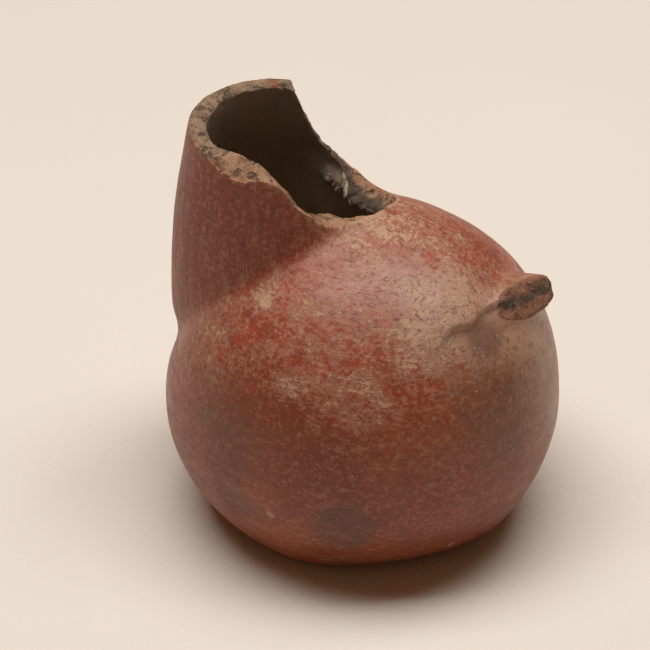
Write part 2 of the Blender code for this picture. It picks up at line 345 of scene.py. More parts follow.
# Light and floor
LIGHT_COLOUR = (0.93, 0.99, 1.0)
LIGHT_PLACE = (-0.05, 0.09, 1.20)
LIGHT_TARGET = (0.0, 0.0, 0.05)
LIGHT_WIDTH = 1.30
LIGHT_DEPTH = 0.55
LIGHT_POWER = 18.0
ROOM_COLOUR = (1.0, 0.60, 0.32)
ROOM_STRENGTH = 0.12
FLOOR_HALF = 3.0
CLOTH_SHADE = (0.78, 0.665, 0.575)
CLOTH_PALE = (0.81, 0.695, 0.60)
THREADS = 260.0
THREAD_WANDER = 0.6


def direction(bearing, rise):
    """Unit vector at a bearing about +Z and a rise above the level plane, in degrees."""
    turn = math.radians(bearing)
    lift = math.radians(rise)
    return np.array([math.cos(lift) * math.cos(turn), math.cos(lift) * math.sin(turn), math.sin(lift)])


def smooth_low(first, second, width):
    """The lower of two fields, rounded where they meet."""
    mix = np.clip(0.5 + 0.5 * (first - second) / width, 0.0, 1.0)
    return first + (second - first) * mix - width * mix * (1.0 - mix)


def smooth_high(first, second, width):
    """The higher of two fields, rounded where they meet."""
    return -smooth_low(-first, -second, width)


def smooth_step(low, high, values):
    """Goes from nothing at low to one at high."""
    share = np.clip((values - low) / (high - low), 0.0, 1.0)
    return share * share * (3.0 - 2.0 * share)


def hand_marks(points):
    """Height that the flats and swells add to the wall at each point."""
    away = points - BODY_CENTRE
    away = away / np.maximum(np.linalg.norm(away, axis=-1, keepdims=True), TINY)
    height = np.zeros(points.shape[:-1])
    for bearing, rise, spread, depth in HAND_MARKS:
        angle = np.arccos(np.clip(away @ direction(bearing, rise), -1.0, 1.0))
        height += depth * np.exp(-(angle / math.radians(spread)) ** 2)
    return height


def body_gap(points):
    """How far points lie outside the round body, in metres; negative inside."""
    away = points - BODY_CENTRE
    away = away - away[..., 2:3] * np.array([BODY_LEAN, 0.0, 0.0])
    half_height = np.where(away[..., 2] > 0.0, BODY_RISE, BODY_DROP)
    half = np.stack([np.full_like(half_height, BODY_LENGTH / 2.0),
                     np.full_like(half_height, BODY_WIDTH / 2.0), half_height], axis=-1)
    ratio = np.linalg.norm(away / half, axis=-1)
    slope = np.maximum(np.linalg.norm(away / half ** 2, axis=-1), TINY)
    return ratio * (ratio - 1.0) / slope - hand_marks(points)


def neck_gap(points):
    """How far points lie outside the neck, in metres."""
    share = (points[..., 2] - NECK_FOOT_HEIGHT) / (RIM_HEIGHT - NECK_FOOT_HEIGHT)
    along = np.clip(share, 0.0, NECK_RUN_ON)[..., None]
    axis = NECK_FOOT + along * (RIM_CENTRE - NECK_FOOT)
    radius = NECK_FOOT_RADIUS + (RIM_RADIUS - NECK_FOOT_RADIUS) * along[..., 0] ** NECK_CURVE
    below = np.minimum(points[..., 2] - NECK_FOOT_HEIGHT, 0.0)
    level = np.hypot(points[..., 0] - axis[..., 0], points[..., 1] - axis[..., 1])
    return np.hypot(level, below) - radius


def wall_gap(points, body_inset=0.0, neck_inset=0.0):
    """How far points lie outside the blended body and neck, set in by the given walls."""
    body = body_gap(points) + body_inset
    neck = neck_gap(points) + neck_inset
    turn = np.arctan2(points[..., 1] - NECK_OFFSET_Y, points[..., 0] - NECK_OFFSET_X)
    towards_handle = (0.5 + 0.5 * np.cos(turn)) ** 2
    blend = SEAM_BLEND_TIGHT + (SEAM_BLEND_BROAD - SEAM_BLEND_TIGHT) * towards_handle
    pinch = SEAM_PINCH_DEPTH * (1.0 - towards_handle) * np.exp(-((body - neck) / SEAM_PINCH_WIDTH) ** 2)
    return smooth_low(neck, body, blend) + pinch


def inner_gap(points):
    """Distance outside the hollow, which has a level floor with a rounded corner."""
    return smooth_high(wall_gap(points, BODY_WALL, NECK_WALL), FLOOR_THICKNESS - points[..., 2], FLOOR_FILLET)


def section_axes(normal):
    """Long and short axis of the strap in a plane square to a normal, turned by the strap's roll."""
    level = np.cross([0.0, 0.0, 1.0], normal)
    level = level / np.linalg.norm(level)
    rise = np.cross(normal, level)
    roll = math.radians(STUMP_ROLL)
    return (math.cos(roll) * level + math.sin(roll) * rise,
            math.cos(roll) * rise - math.sin(roll) * level)


def shoulder_point():
    """Place on the shoulder where the stump stands."""
    ray = direction(STUMP_BEARING, STUMP_RISE)
    near, far = 0.0, FAR_OUT
    for _ in range(SOLVE_STEPS):
        middle = 0.5 * (near + far)
        if wall_gap(BODY_CENTRE + ray * middle) < 0.0:
            near = middle
        else:
            far = middle
    return BODY_CENTRE + ray * near


def skin_normal(point):
    """Unit vector square to the outer skin at a point."""
    step = 1e-5
    slope = [wall_gap(point + step * axis) - wall_gap(point - step * axis) for axis in np.eye(3)]
    return np.array(slope) / np.linalg.norm(slope)


STUMP_PLACE = shoulder_point()
STUMP_OUT = skin_normal(STUMP_PLACE)
STUMP_ROOT = STUMP_PLACE - STUMP_OUT * STUMP_ROOT_SINK
STUMP_END = STUMP_PLACE + STUMP_OUT * STUMP_REACH
STUMP_FACE = direction(STUMP_FACE_BEARING, STUMP_FACE_RISE)
ROOT_AXES = section_axes(STUMP_OUT)
FACE_AXES = section_axes(STUMP_FACE)


def stump_gaps(points):
    """Distances outside the strap's sides and beyond its broken face; the strap turns from root to face."""
    reach = STUMP_END - STUMP_ROOT
    share = np.full(points.shape[:-1], 0.5)
    for _ in range(STUMP_SOLVES):
        facing = STUMP_OUT + share[..., None] * (STUMP_FACE - STUMP_OUT)
        ahead = ((points - STUMP_ROOT - share[..., None] * reach) * facing).sum(-1)
        share = np.clip(share + ahead / (facing @ reach), 0.0, STUMP_RUN_ON)
    near_root = (1.0 - np.minimum(share, 1.0)) ** 2
    share = share[..., None]
    centre = STUMP_ROOT + share * reach
    half_width = STUMP_WIDTH / 2.0 * (1.0 + (STUMP_WIDTH_FLARE - 1.0) * near_root)
    half_thickness = STUMP_THICKNESS / 2.0 * (1.0 + (STUMP_THICKNESS_FLARE - 1.0) * near_root)
    long_axis = ROOT_AXES[0] + share * (FACE_AXES[0] - ROOT_AXES[0])
    short_axis = ROOT_AXES[1] + share * (FACE_AXES[1] - ROOT_AXES[1])
    across = np.abs(((points - centre) * long_axis).sum(-1)) / half_width
    through = np.abs(((points - centre) * short_axis).sum(-1)) / half_thickness
    ratio = (across ** STUMP_SQUARENESS + through ** STUMP_SQUARENESS) ** (1.0 / STUMP_SQUARENESS)
    behind = (STUMP_ROOT - points) @ STUMP_OUT
    return np.maximum((ratio - 1.0) * half_thickness, behind), (points - STUMP_END) @ STUMP_FACE


def outer_gap(points):
    """Distance outside the jug's outer skin: wall, stump and worn foot."""
    skin = wall_gap(points)
    near = np.linalg.norm(points - STUMP_PLACE, axis=-1) < STUMP_NEAR
    if near.any():
        stump = smooth_high(*stump_gaps(points[near]), STUMP_CORNER)
        skin[near] = smooth_low(skin[near], stump, STUMP_FILLET)
    return smooth_high(skin, -points[..., 2], FOOT_ROUNDING)


def cast(gap, bearings, polars):
    """Points where rays from the heart leave a skin; bearings and polars are arrays of one shape."""
    rays = np.stack([np.sin(polars) * np.cos(bearings), np.sin(polars) * np.sin(bearings),
                     np.cos(polars)], axis=-1)
    near = np.zeros(polars.shape)
    far = np.full(polars.shape, FAR_OUT)
    for _ in range(SOLVE_STEPS):
        middle = 0.5 * (near + far)
        inside = gap(HEART + rays * middle[..., None]) < 0.0
        near = np.where(inside, middle, near)
        far = np.where(inside, far, middle)
    return HEART + rays * (0.5 * (near + far))[..., None]


def shared_out(weights, count):
    """Positions from 0 to 1, count of them, closer together where the weights are higher."""
    run = np.concatenate([[0.0], np.cumsum(0.5 * (weights[1:] + weights[:-1]))])
    return np.interp(np.linspace(0.0, run[-1], count), run, np.linspace(0.0, 1.0, len(weights)))


def column_bearings():
    """Bearings of the mesh's columns, closer together around the stump."""
    turns = np.linspace(-math.pi, math.pi, BEARING_SAMPLES)
    to_stump = STUMP_PLACE - HEART
    stump_turn = math.atan2(to_stump[1], to_stump[0])
    crowd, reach = STUMP_COLUMNS
    weights = 1.0 + crowd * np.exp(-((turns - stump_turn) / math.radians(reach)) ** 2)
    return -math.pi + 2.0 * math.pi * shared_out(weights, COLUMNS + 1)[:-1]


def broken_lengths(bearings):
    """Lengths of outer and inner skin lost below the rim at bearings in radians."""
    turns = np.degrees(bearings) % 360.0
    marks = [mark[0] for mark in BROKEN_AWAY]
    lost = [np.interp(turns, marks, [mark[side] for mark in BROKEN_AWAY], period=360.0) for side in (1, 2)]
    for side, seed in enumerate(JAG_SEEDS):
        jag = sum(height * np.array([noise.noise(Vector((turns_round / JAG_SCALE * math.cos(bearing),
                                                         turns_round / JAG_SCALE * math.sin(bearing), seed)))
                                     for bearing in bearings])
                  for turns_round, height in JAGS)
        lost[side] = np.maximum(0.0, lost[side] + jag * np.minimum(1.0, lost[0] / JAG_FADE))
    return lost


class Skin:
    """Every column of one skin, with lengths measured down from the rim."""

    def __init__(self, gap, bearings):
        self.gap = gap
        self.bearings = bearings
        self.polars = np.linspace(START_POLAR, math.pi, MERIDIAN_SAMPLES)
        grid = np.broadcast_to(self.polars, (len(bearings), MERIDIAN_SAMPLES))
        self.points = cast(gap, np.broadcast_to(bearings[:, None], grid.shape), grid)
        steps = np.linalg.norm(np.diff(self.points, axis=1), axis=-1)
        self.lengths = np.concatenate([np.zeros((len(bearings), 1)), np.cumsum(steps, axis=1)], axis=1)
        for column, points in zip(self.lengths, self.points):
            first = int(np.argmin(points[:, 2] > RIM_HEIGHT))
            column -= np.interp(-RIM_HEIGHT, -points[first - 1:first + 1, 2], column[first - 1:first + 1])

    def rows(self, starts, ends, count, weigh):
        """Rows of points between two lengths in each column, and their lengths."""
        polars = np.zeros((len(self.bearings), count))
        lengths = np.zeros_like(polars)
        for index, (start, end) in enumerate(zip(starts, ends)):
            run = np.linspace(start, end, MERIDIAN_SAMPLES)
            places = np.stack([np.interp(run, self.lengths[index], self.points[index, :, axis])
                               for axis in range(3)], axis=-1)
            lengths[index] = start + (end - start) * shared_out(weigh(places, run), count)
            polars[index] = np.interp(lengths[index], self.lengths[index], self.polars)
        bearings = np.broadcast_to(self.bearings[:, None], polars.shape)
        return cast(self.gap, bearings, polars), lengths


def outer_weights(places, run):
    """Rows crowd near the break and round the stump, and thin out under the foot."""
    crowd, reach = BREAK_ROWS
    weights = 1.0 + crowd * np.exp(-(run - run.min()) / reach)
    crowd, reach = STUMP_ROWS
    weights += crowd * np.exp(-(np.linalg.norm(places - STUMP_PLACE, axis=-1) / reach) ** 2)
    under, level = UNDER_ROWS
    return np.where(places[:, 2] < level, under, weights)


def cavity_weights(_places, run):
    """Rows of the hollow crowd near the mouth, where they show."""
    crowd, reach = MOUTH_ROWS
    return DEEP_ROWS + crowd * np.exp(-(run - run.min()) / reach)


def jug_rings():
    """Rings of points from under the foot up the outside, over the lip and down the hollow."""
    bearings = column_bearings()
    outside = Skin(outer_gap, bearings)
    inside = Skin(inner_gap, bearings)
    outer_lost, inner_lost = broken_lengths(bearings)
    broken = smooth_step(*BROKEN_FROM, outer_lost)
    rounding = WORN_LIP + (BROKEN_LIP - WORN_LIP) * broken
    under_end = outside.lengths[:, -1] - POLE_GAP
    skin, skin_lengths = outside.rows(outer_lost + rounding, under_end, OUTER_ROWS, outer_weights)
    floor_end = inside.lengths[:, -1] - POLE_GAP
    hollow, _ = inside.rows(inner_lost + rounding, floor_end, CAVITY_ROWS, cavity_weights)
    skin = skin[:, ::-1]
    rise = skin[:, -1] - skin[:, -2]
    rise = rise / np.linalg.norm(rise, axis=-1, keepdims=True)
    shares = 0.5 - 0.5 * np.cos(np.linspace(0.0, math.pi, LIP_ROWS + 2)[1:-1])
    lips = []
    for share in shares:
        swell = (1.0 - abs(2.0 * share - 1.0) ** LIP_SQUARENESS) * rounding
        lips.append(skin[:, -1] + share * (hollow[:, 0] - skin[:, -1]) + rise * swell[:, None])
    rings = [skin[:, row] for row in range(OUTER_ROWS)] + lips
    rings += [hollow[:, row] for row in range(CAVITY_ROWS)]
    below_edge = skin_lengths[:, ::-1] - (outer_lost + rounding)[:, None]
    return np.array(rings), broken, below_edge.T


def closed_skin(name, rings):
    """Mesh that runs over rings of points and closes on a point at each end."""
    count, sides = rings.shape[:2]
    under = rings[0].mean(axis=0)
    floor = rings[-1].mean(axis=0)
    vertices = np.concatenate([rings.reshape(-1, 3), [under, floor]])
    side = np.arange(sides)
    after = (side + 1) % sides
    quads = [np.stack([row * sides + side, row * sides + after,
                       (row + 1) * sides + after, (row + 1) * sides + side], axis=1)
             for row in range(count - 1)]
    bottom = np.stack([np.full(sides, count * sides), after, side], axis=1)
    last = (count - 1) * sides
    top = np.stack([np.full(sides, count * sides + 1), last + side, last + after], axis=1)
    mesh = bpy.data.meshes.new(name)
    mesh.from_pydata(vertices.tolist(), [], np.concatenate(quads).tolist() + bottom.tolist() + top.tolist())
    mesh.update()
    return mesh


def normals_of(mesh):
    """Vertex normals as an array."""
    values = np.zeros(len(mesh.vertices) * 3)
    mesh.vertex_normals.foreach_get("vector", values)
    return values.reshape(-1, 3)


def places_of(mesh):
    """Vertex places as an array."""
    values = np.zeros(len(mesh.vertices) * 3)
    mesh.vertices.foreach_get("co", values)
    return values.reshape(-1, 3)


def grain(points, size, seed):
    """Smooth noise from about -1 to 1 at points in space."""
    shift = Vector((seed, 2.0 * seed, 3.0 * seed))
    return np.array([noise.noise(Vector(point) / size + shift) for point in points])


def relief(points, bands, seed):
    """Sum of several sizes of noise, each with its own height."""
    height = np.zeros(len(points))
    for step, (tall, size) in enumerate(bands):
        height += tall * grain(points, size, seed + step)
    return height


def keep(mesh, name, values):
    """Store one number a vertex under a name."""
    attribute = mesh.attributes.new(name, "FLOAT", "POINT")
    attribute.data.foreach_set("value", np.asarray(values, dtype=np.float32))


def turns_of(points):
    """Bearings of points about the heart of the jug, in degrees."""
    return np.degrees(np.arctan2(points[:, 1] - HEART[1], points[:, 0] - HEART[0]))


def within(marks, values):
    """One between the middle two of four marks, easing to nothing at the outer two."""
    start, full, easing, end = marks
    return smooth_step(start, full, values) * smooth_step(end, easing, values)


def build_jug():
    """The whole jug as one skin, with its relief and the marks that its clay reads."""
    rings, broken, below_edge = jug_rings()
    mesh = closed_skin("jug_clay", rings)
    count = len(mesh.vertices)
    ring_count, sides = rings.shape[:2]
    row = np.minimum(np.arange(count) // sides, ring_count - 1)
    column = np.arange(count) % sides
    is_skin = row < OUTER_ROWS
    is_hollow = row >= OUTER_ROWS + LIP_ROWS
    is_lip = ~is_skin & ~is_hollow

    points = places_of(mesh)
    normals = normals_of(mesh)
    sides_gap, face_gap = stump_gaps(points)
    stump_break = smooth_step(*FACE_BREAK, face_gap) * smooth_step(*SIDE_BREAK, sides_gap) * is_skin
    lip_break = broken[column] * is_lip
    edge = np.where(is_lip, 0.0, 1.0)
    edge[:OUTER_ROWS * sides] = below_edge.reshape(-1)

    height = np.zeros(count)
    height[is_skin] = relief(points[is_skin], LUMPS, SKIN_SEED) * (points[is_skin, 2] > SMOOTH_FOOT)
    rough = np.maximum(stump_break, np.maximum(lip_break, WORN_RIM_SHARE * is_lip))
    picked = rough > SLIGHT
    height[picked] += rough[picked] * relief(points[picked], FRACTURE_RELIEF, FRACTURE_SEED)
    height[is_hollow] = relief(points[is_hollow], HOLLOW_RELIEF, HOLLOW_SEED) + ledge(points[is_hollow])
    height[is_skin] += shelf(points[is_skin]) - pressed_marks(points[is_skin])
    points += normals * height[:, None]
    mesh.vertices.foreach_set("co", points.reshape(-1))
    mesh.update()

    keep(mesh, "on_neck", smooth_step(-NECK_FADE, NECK_FADE, body_gap(points) - neck_gap(points)))
    keep(mesh, "stump_break", stump_break)
    from_middle = ((points - STUMP_END) @ FACE_AXES[1] - CORE_OFFSET) / CORE_WIDTH
    keep(mesh, "stump_core", np.exp(-from_middle ** 2) * (stump_break > 0.0))
    keep(mesh, "edge_distance", edge)
    keep(mesh, "broken", broken[column])
    turns = turns_of(points) % 360.0
    from_rim = np.abs((turns - RIM_MIDDLE + 180.0) % 360.0 - 180.0)
    keep(mesh, "fresh", smooth_step(RIM_HALF, RIM_HALF + RIM_FADE, from_rim))
    through = np.where(is_lip, (row - OUTER_ROWS + 1.0) / (LIP_ROWS + 1.0), is_hollow * 1.0)
    keep(mesh, "through", through)
    keep(mesh, "far_side", within(FAR_SIDE_BEARINGS, turns))
    on_ledge = np.zeros(count)
    on_ledge[is_hollow] = smooth_step(0.0, LEDGE_HEIGHT * LEDGE_SHOWN, ledge(points[is_hollow]))
    keep(mesh, "ledge", on_ledge)

    face_rows = np.arange(len(mesh.polygons)) // sides
    slots = np.zeros(len(mesh.polygons), dtype=np.int32)
    in_lip = (face_rows >= OUTER_ROWS - 1) & (face_rows < OUTER_ROWS + LIP_ROWS)
    slots[in_lip] = 1
    slots[face_rows >= OUTER_ROWS + LIP_ROWS] = 2
    slots[face_rows == ring_count - 1] = 0
    mesh.polygons.foreach_set("material_index", slots)
    mesh.shade_smooth()
    jug = bpy.data.objects.new("jug_clay", mesh)
    bpy.context.scene.collection.objects.link(jug)
    return jug


def pressed_marks(points):
    """Depth of the scar and of the flats beside it."""
    offset = points - np.array(SCAR_PLACE)
    reach = np.linalg.norm(offset, axis=1) / SCAR_RADIUS
    upper_right = (offset[:, 0] + offset[:, 2]) / np.maximum(np.linalg.norm(offset, axis=1), TINY)
    share = SCAR_LOW_SIDE + (1.0 - SCAR_LOW_SIDE) * smooth_step(-0.4, 0.9, upper_right)
    depth = SCAR_DEPTH * smooth_step(*SCAR_EDGE, reach) * share
    for place, radius, deep in FLATS:
        depth += deep * smooth_step(*FLAT_EDGE, np.linalg.norm(points - np.array(place), axis=1) / radius)
    return depth


def shelf(points):
    """Height of the smeared clay beside the handle and of the dip below its edge."""
    start = np.array(SHELF_START)
    run = np.array(SHELF_END) - start
    length = np.linalg.norm(run)
    run = run / length
    offset = points[:, :2] - start
    along = (offset @ run) / length
    beyond = offset @ np.array([-run[1], run[0]]) + SHELF_WANDER * np.sin(along * SHELF_WAVES)
    window = within((-0.35, 0.05, 0.75, 1.35), along) * (points[:, 2] > SHELF_LOWEST)
    raised = np.exp(np.minimum(beyond, 0.0) / SHELF_FADE) * smooth_step(0.0005, -0.0005, beyond)
    dip = within((-0.0005, 0.0006, 0.0015, 0.0080), beyond)
    return window * (SHELF_HEIGHT * raised - SHELF_DIP * dip)


def ledge(points):
    """Height of the rough clay round the foot of the neck, inside."""
    around = within(LEDGE_BEARINGS, turns_of(points))
    level = np.exp(-((points[:, 2] - LEDGE_LEVEL) / LEDGE_SPREAD) ** 2)
    picked = (around * level) > SLIGHT
    height = np.zeros(len(points))
    lumps = LEDGE_BASE + relief(points[picked], LEDGE_LUMPS, LEDGE_SEED)
    height[picked] = LEDGE_HEIGHT * around[picked] * level[picked] * lumps
    return height


class Wires:
    """Short ways to add and join nodes in one tree."""

    def __init__(self, tree):
        self.tree = tree

    def node(self, kind, **settings):
        """New node with its settings."""
        made = self.tree.nodes.new(kind)
        for name, value in settings.items():
            setattr(made, name, value)
        return made

    def feed(self, socket, value):
        """Link a socket, or give it a value of its own."""
        if isinstance(value, bpy.types.NodeSocket):
            self.tree.links.new(value, socket)
        else:
            socket.default_value = value

    def fed(self, kind, values, **settings):
        """New node with its settings and its inputs fed."""
        made = self.node(kind, **settings)
        for name, value in values.items():
            self.feed(made.inputs[name], value)
        return made

    def maths(self, operation, first, second):
        """Result of one operation on two values."""
        return self.fed("ShaderNodeMath", {0: first, 1: second}, operation=operation).outputs[0]

    def times(self, first, second):
        """Product of two values."""
        return self.maths("MULTIPLY", first, second)

    def plus(self, first, second):
        """Sum of two values."""
        return self.maths("ADD", first, second)

    def less(self, first, second):
        """First value less the second."""
        return self.maths("SUBTRACT", first, second)

    def scaled(self, vector, scale):
        """Vector scaled along each axis."""
        return self.fed("ShaderNodeVectorMath", {0: vector, 1: scale}, operation="MULTIPLY").outputs[0]

    def noise(self, vector, scale, detail, roughness, distortion=0.0):
        """Cloudy noise from nothing to one."""
        values = {"Vector": vector, "Scale": scale, "Detail": detail, "Roughness": roughness,
                  "Distortion": distortion}
        return self.fed("ShaderNodeTexNoise", values).outputs["Fac"]

    def band(self, value, low, high, to_low=0.0, to_high=1.0):
        """Smooth step of a value between two levels."""
        values = dict(enumerate((value, low, high, to_low, to_high)))
        return self.fed("ShaderNodeMapRange", values, interpolation_type="SMOOTHSTEP").outputs["Result"]

    def blend(self, share, first, second):
        """Mix of two colours."""
        values = {"Factor": share, "A": as_colour(first), "B": as_colour(second)}
        return self.fed("ShaderNodeMix", values, data_type="RGBA").outputs["Result"]

    def tinted(self, colour, tint, mask, strength):
        """Colour with some of a tint where a mask lies."""
        return self.blend(self.times(mask, strength), colour, tint)

    def mix_values(self, share, first, second):
        """Mix of two values."""
        values = {"Factor": share, "A": first, "B": second}
        return self.fed("ShaderNodeMix", values, data_type="FLOAT").outputs["Result"]

    def stored(self, name):
        """Number that the mesh stores under a name."""
        return self.node("ShaderNodeAttribute", attribute_name=name).outputs["Fac"]


def as_colour(value):
    """A colour with its alpha, or the socket as it is."""
    return (*value, 1.0) if isinstance(value, tuple) and len(value) == 3 else value


def new_group(name, inputs, outputs):
    """Empty shader group with named sockets; gives its wires and the two ends."""
    tree = bpy.data.node_groups.new(name, "ShaderNodeTree")
    for label, kind, value in inputs:
        socket = tree.interface.new_socket(label, in_out="INPUT", socket_type=kind)
        if value is not None:
            socket.default_value = value
    for label, kind in outputs:
        tree.interface.new_socket(label, in_out="OUTPUT", socket_type=kind)
    wires = Wires(tree)
    start = wires.node("NodeGroupInput")
    end = wires.node("NodeGroupOutput")
    return tree, wires, start.outputs, end.inputs


def soft_spot_group():
    """Ragged round spot about a place on the clay."""
    tree, wires, given, out = new_group(
        "soft_spot",
        (("Place", "NodeSocketVector", None), ("Centre", "NodeSocketVector", None),
         ("Radius", "NodeSocketFloat", 0.01), ("Softness", "NodeSocketFloat", 0.5),
         ("Ragged", "NodeSocketFloat", 0.3)),
        (("Mask", "NodeSocketFloat"),))
    reach = wires.fed("ShaderNodeVectorMath", {0: given["Place"], 1: given["Centre"]}, operation="DISTANCE")
    share = wires.maths("DIVIDE", reach.outputs["Value"], given["Radius"])
    fringe = wires.noise(given["Place"], SPOT_GRAIN, 5.0, 0.65)
    throw = wires.times(given["Ragged"], 4.0)
    fringe = wires.times(wires.less(fringe, 0.5), throw)
    share = wires.plus(share, fringe)
    low = wires.less(1.0, given["Softness"])
    high = wires.plus(1.0, given["Softness"])
    wires.feed(out["Mask"], wires.band(share, low, high, 1.0, 0.0))
    return tree


def strokes_group():
    """Marks of the burnishing stone: long fine streaks, as a height and as patchy colour."""
    tree, wires, given, out = new_group(
        "burnish_strokes",
        (("Place", "NodeSocketVector", None), ("Stretch", "NodeSocketVector", None),
         ("Fineness", "NodeSocketFloat", 100.0)),
        (("Height", "NodeSocketFloat"), ("Streak", "NodeSocketFloat")))
    drawn = wires.scaled(given["Place"], given["Stretch"])
    broad = wires.noise(drawn, given["Fineness"], 3.0, 0.6, 0.4)
    fine = wires.noise(drawn, wires.times(given["Fineness"], 3.3), 3.0, 0.6)
    height = wires.plus(wires.times(broad, 0.6), wires.times(fine, 0.4))
    wires.feed(out["Height"], height)
    wires.feed(out["Streak"], wires.band(height, 0.42, 0.60))
    return tree


def grit_group():
    """Sand and straw in the clay: pits, raised grains and pale specks."""
    tree, wires, given, out = new_group(
        "clay_grit",
        (("Place", "NodeSocketVector", None), ("Size", "NodeSocketFloat", 900.0),
         ("Pitting", "NodeSocketFloat", 0.5)),
        (("Height", "NodeSocketFloat"), ("Specks", "NodeSocketFloat"), ("Pits", "NodeSocketFloat")))
    values = {"Vector": given["Place"], "Scale": given["Size"]}
    grains = wires.fed("ShaderNodeTexVoronoi", values, feature="F1")
    rough = wires.noise(given["Place"], given["Size"], 5.0, 0.7)
    coarse = wires.noise(given["Place"], wires.times(given["Size"], 0.35), 4.0, 0.65)
    pits = wires.band(coarse, 0.34, 0.44, 1.0, 0.0)
    specks = wires.times(wires.band(grains.outputs["Distance"], 0.12, 0.26, 1.0, 0.0),
                         wires.band(rough, 0.55, 0.62))
    height = wires.plus(wires.times(rough, 0.6), wires.times(specks, 0.3))
    height = wires.less(height, wires.times(pits, given["Pitting"]))
    wires.feed(out["Height"], height)
    wires.feed(out["Specks"], specks)
    wires.feed(out["Pits"], pits)
    return tree


def wear_group():
    """Where the slip is rubbed thin and where it is gone: patches broken up into strokes and specks."""
    tree, wires, given, out = new_group(
        "slip_wear",
        (("Place", "NodeSocketVector", None), ("Stretch", "NodeSocketVector", None),
         ("Amount", "NodeSocketFloat", 0.5)),
        (("Thin", "NodeSocketFloat"), ("Bare", "NodeSocketFloat"), ("Dark", "NodeSocketFloat")))
    patches = wires.noise(given["Place"], 45.0, 3.0, 0.6)
    blotches = wires.noise(given["Place"], 190.0, 4.0, 0.65)
    drawn = wires.scaled(given["Place"], given["Stretch"])
    strokes = wires.noise(drawn, 300.0, 4.0, 0.75, 0.5)
    specks = wires.noise(given["Place"], 850.0, 3.0, 0.7)
    total = wires.times(given["Amount"], 0.60)
    for layer, weight in ((patches, 0.35), (blotches, 0.50), (strokes, 0.80), (specks, 0.70)):
        total = wires.plus(total, wires.times(layer, weight))
    wires.feed(out["Thin"], wires.band(total, 1.28, 1.38))
    wires.feed(out["Bare"], wires.band(total, 1.46, 1.54))
    wires.feed(out["Dark"], wires.band(strokes, 0.30, 0.42, 1.0, 0.0))
    return tree


class Clay(Wires):
    """Nodes of one material, with its shader, the place on the surface and the shared groups."""

    def __init__(self, name, groups=None):
        self.material = bpy.data.materials.new(name)
        self.material.use_nodes = True
        super().__init__(self.material.node_tree)
        self.shader = self.tree.nodes["Principled BSDF"]
        self.place = self.node("ShaderNodeTexCoord").outputs["Object"]
        self.groups = groups

    def give(self, name, value):
        """Link or set one of the shader's inputs."""
        self.feed(self.shader.inputs[name], value)

    def raise_bumps(self, height, distance):
        """Feed a height to the shader as a bump of a real depth."""
        bump = self.fed("ShaderNodeBump", {"Strength": 1.0, "Distance": distance, "Height": height})
        self.give("Normal", bump.outputs["Normal"])

    def level(self):
        """Height above the floor."""
        return self.fed("ShaderNodeSeparateXYZ", {0: self.place}).outputs["Z"]

    def cloud(self, scale, detail, roughness):
        """Cloudy noise at the place on the surface."""
        return self.noise(self.place, scale, detail, roughness)

    def shared(self, name, **values):
        """Outputs of a shared group, fed with the place and more."""
        given = {"Place": self.place, **values}
        return self.fed("ShaderNodeGroup", given, node_tree=self.groups[name]).outputs

    def spots(self, *places):
        """Mask of one or more worn, bare, chipped or smoked places, or of places where shade or a highlight
        is painted.
        """
        strongest = None
        for centre, radius, softness, ragged in places:
            mask = self.shared("spot", Centre=centre, Radius=radius, Softness=softness, Ragged=ragged)["Mask"]
            strongest = mask if strongest is None else self.maths("MAXIMUM", strongest, mask)
        return strongest

    def marked(self, colour, marks):
        """Colour tinted at places, one mark after another."""
        for places, tint, strength in marks:
            colour = self.tinted(colour, tint, self.spots(*places), strength)
        return colour


def fresh_slip(clay, upper, upper_body, on_neck, streak):
    """Colour of the unworn slip: clouded, bright in flecks, darker on the neck and in the streaks."""
    clouds = clay.band(clay.cloud(30.0, 4.0, 0.6), 0.36, 0.64)
    high = clay.tinted(SLIP_RED, SLIP_DARK, clouds, 0.6)
    low = clay.blend(clouds, SLIP_LOW, SLIP_DARK)
    slip = clay.blend(upper, low, high)
    flecks = clay.band(clay.cloud(120.0, 5.0, 0.75), 0.47, 0.60)
    flecks = clay.times(flecks, upper_body)
    for tint, mask, strength in ((SLIP_BRIGHT, flecks, 0.85), (SLIP_DARK, on_neck, 0.45),
                                 (SLIP_DARK, streak, 0.45)):
        slip = clay.tinted(slip, tint, mask, strength)
    return slip


def slip_wear(clay, upper_body, on_neck):
    """Masks of the slip rubbed thin, gone and darkened in its strokes."""
    edge = clay.band(clay.stored("edge_distance"), 0.0, 0.0016, 1.0, 0.0)
    edge = clay.times(edge, clay.stored("broken"))
    amount = clay.plus(clay.times(upper_body, UPPER_WEAR), LEAST_WEAR)
    for places, strength in WORN_PLACES:
        amount = clay.plus(amount, clay.times(clay.spots(*places), strength))
    amount = clay.plus(amount, clay.times(edge, EDGE_WEAR))
    body_wear = clay.shared("wear", Stretch=(1.0, 1.0, 4.5), Amount=amount)
    neck_wear = clay.shared("wear", Stretch=(3.2, 3.2, 0.30), Amount=clay.plus(amount, NECK_WEAR))
    return [clay.mix_values(on_neck, body_wear[name], neck_wear[name]) for name in ("Thin", "Bare", "Dark")]


def scar_rim_shadow(clay):
    """Mask of the painted shadow: a dark arc along the upper right edge of the scar's dent."""
    rim = clay.less(clay.spots(SCAR_OUTER), clay.spots(SCAR_INNER))
    return clay.times(rim, clay.spots(SCAR_UPPER_RIGHT))


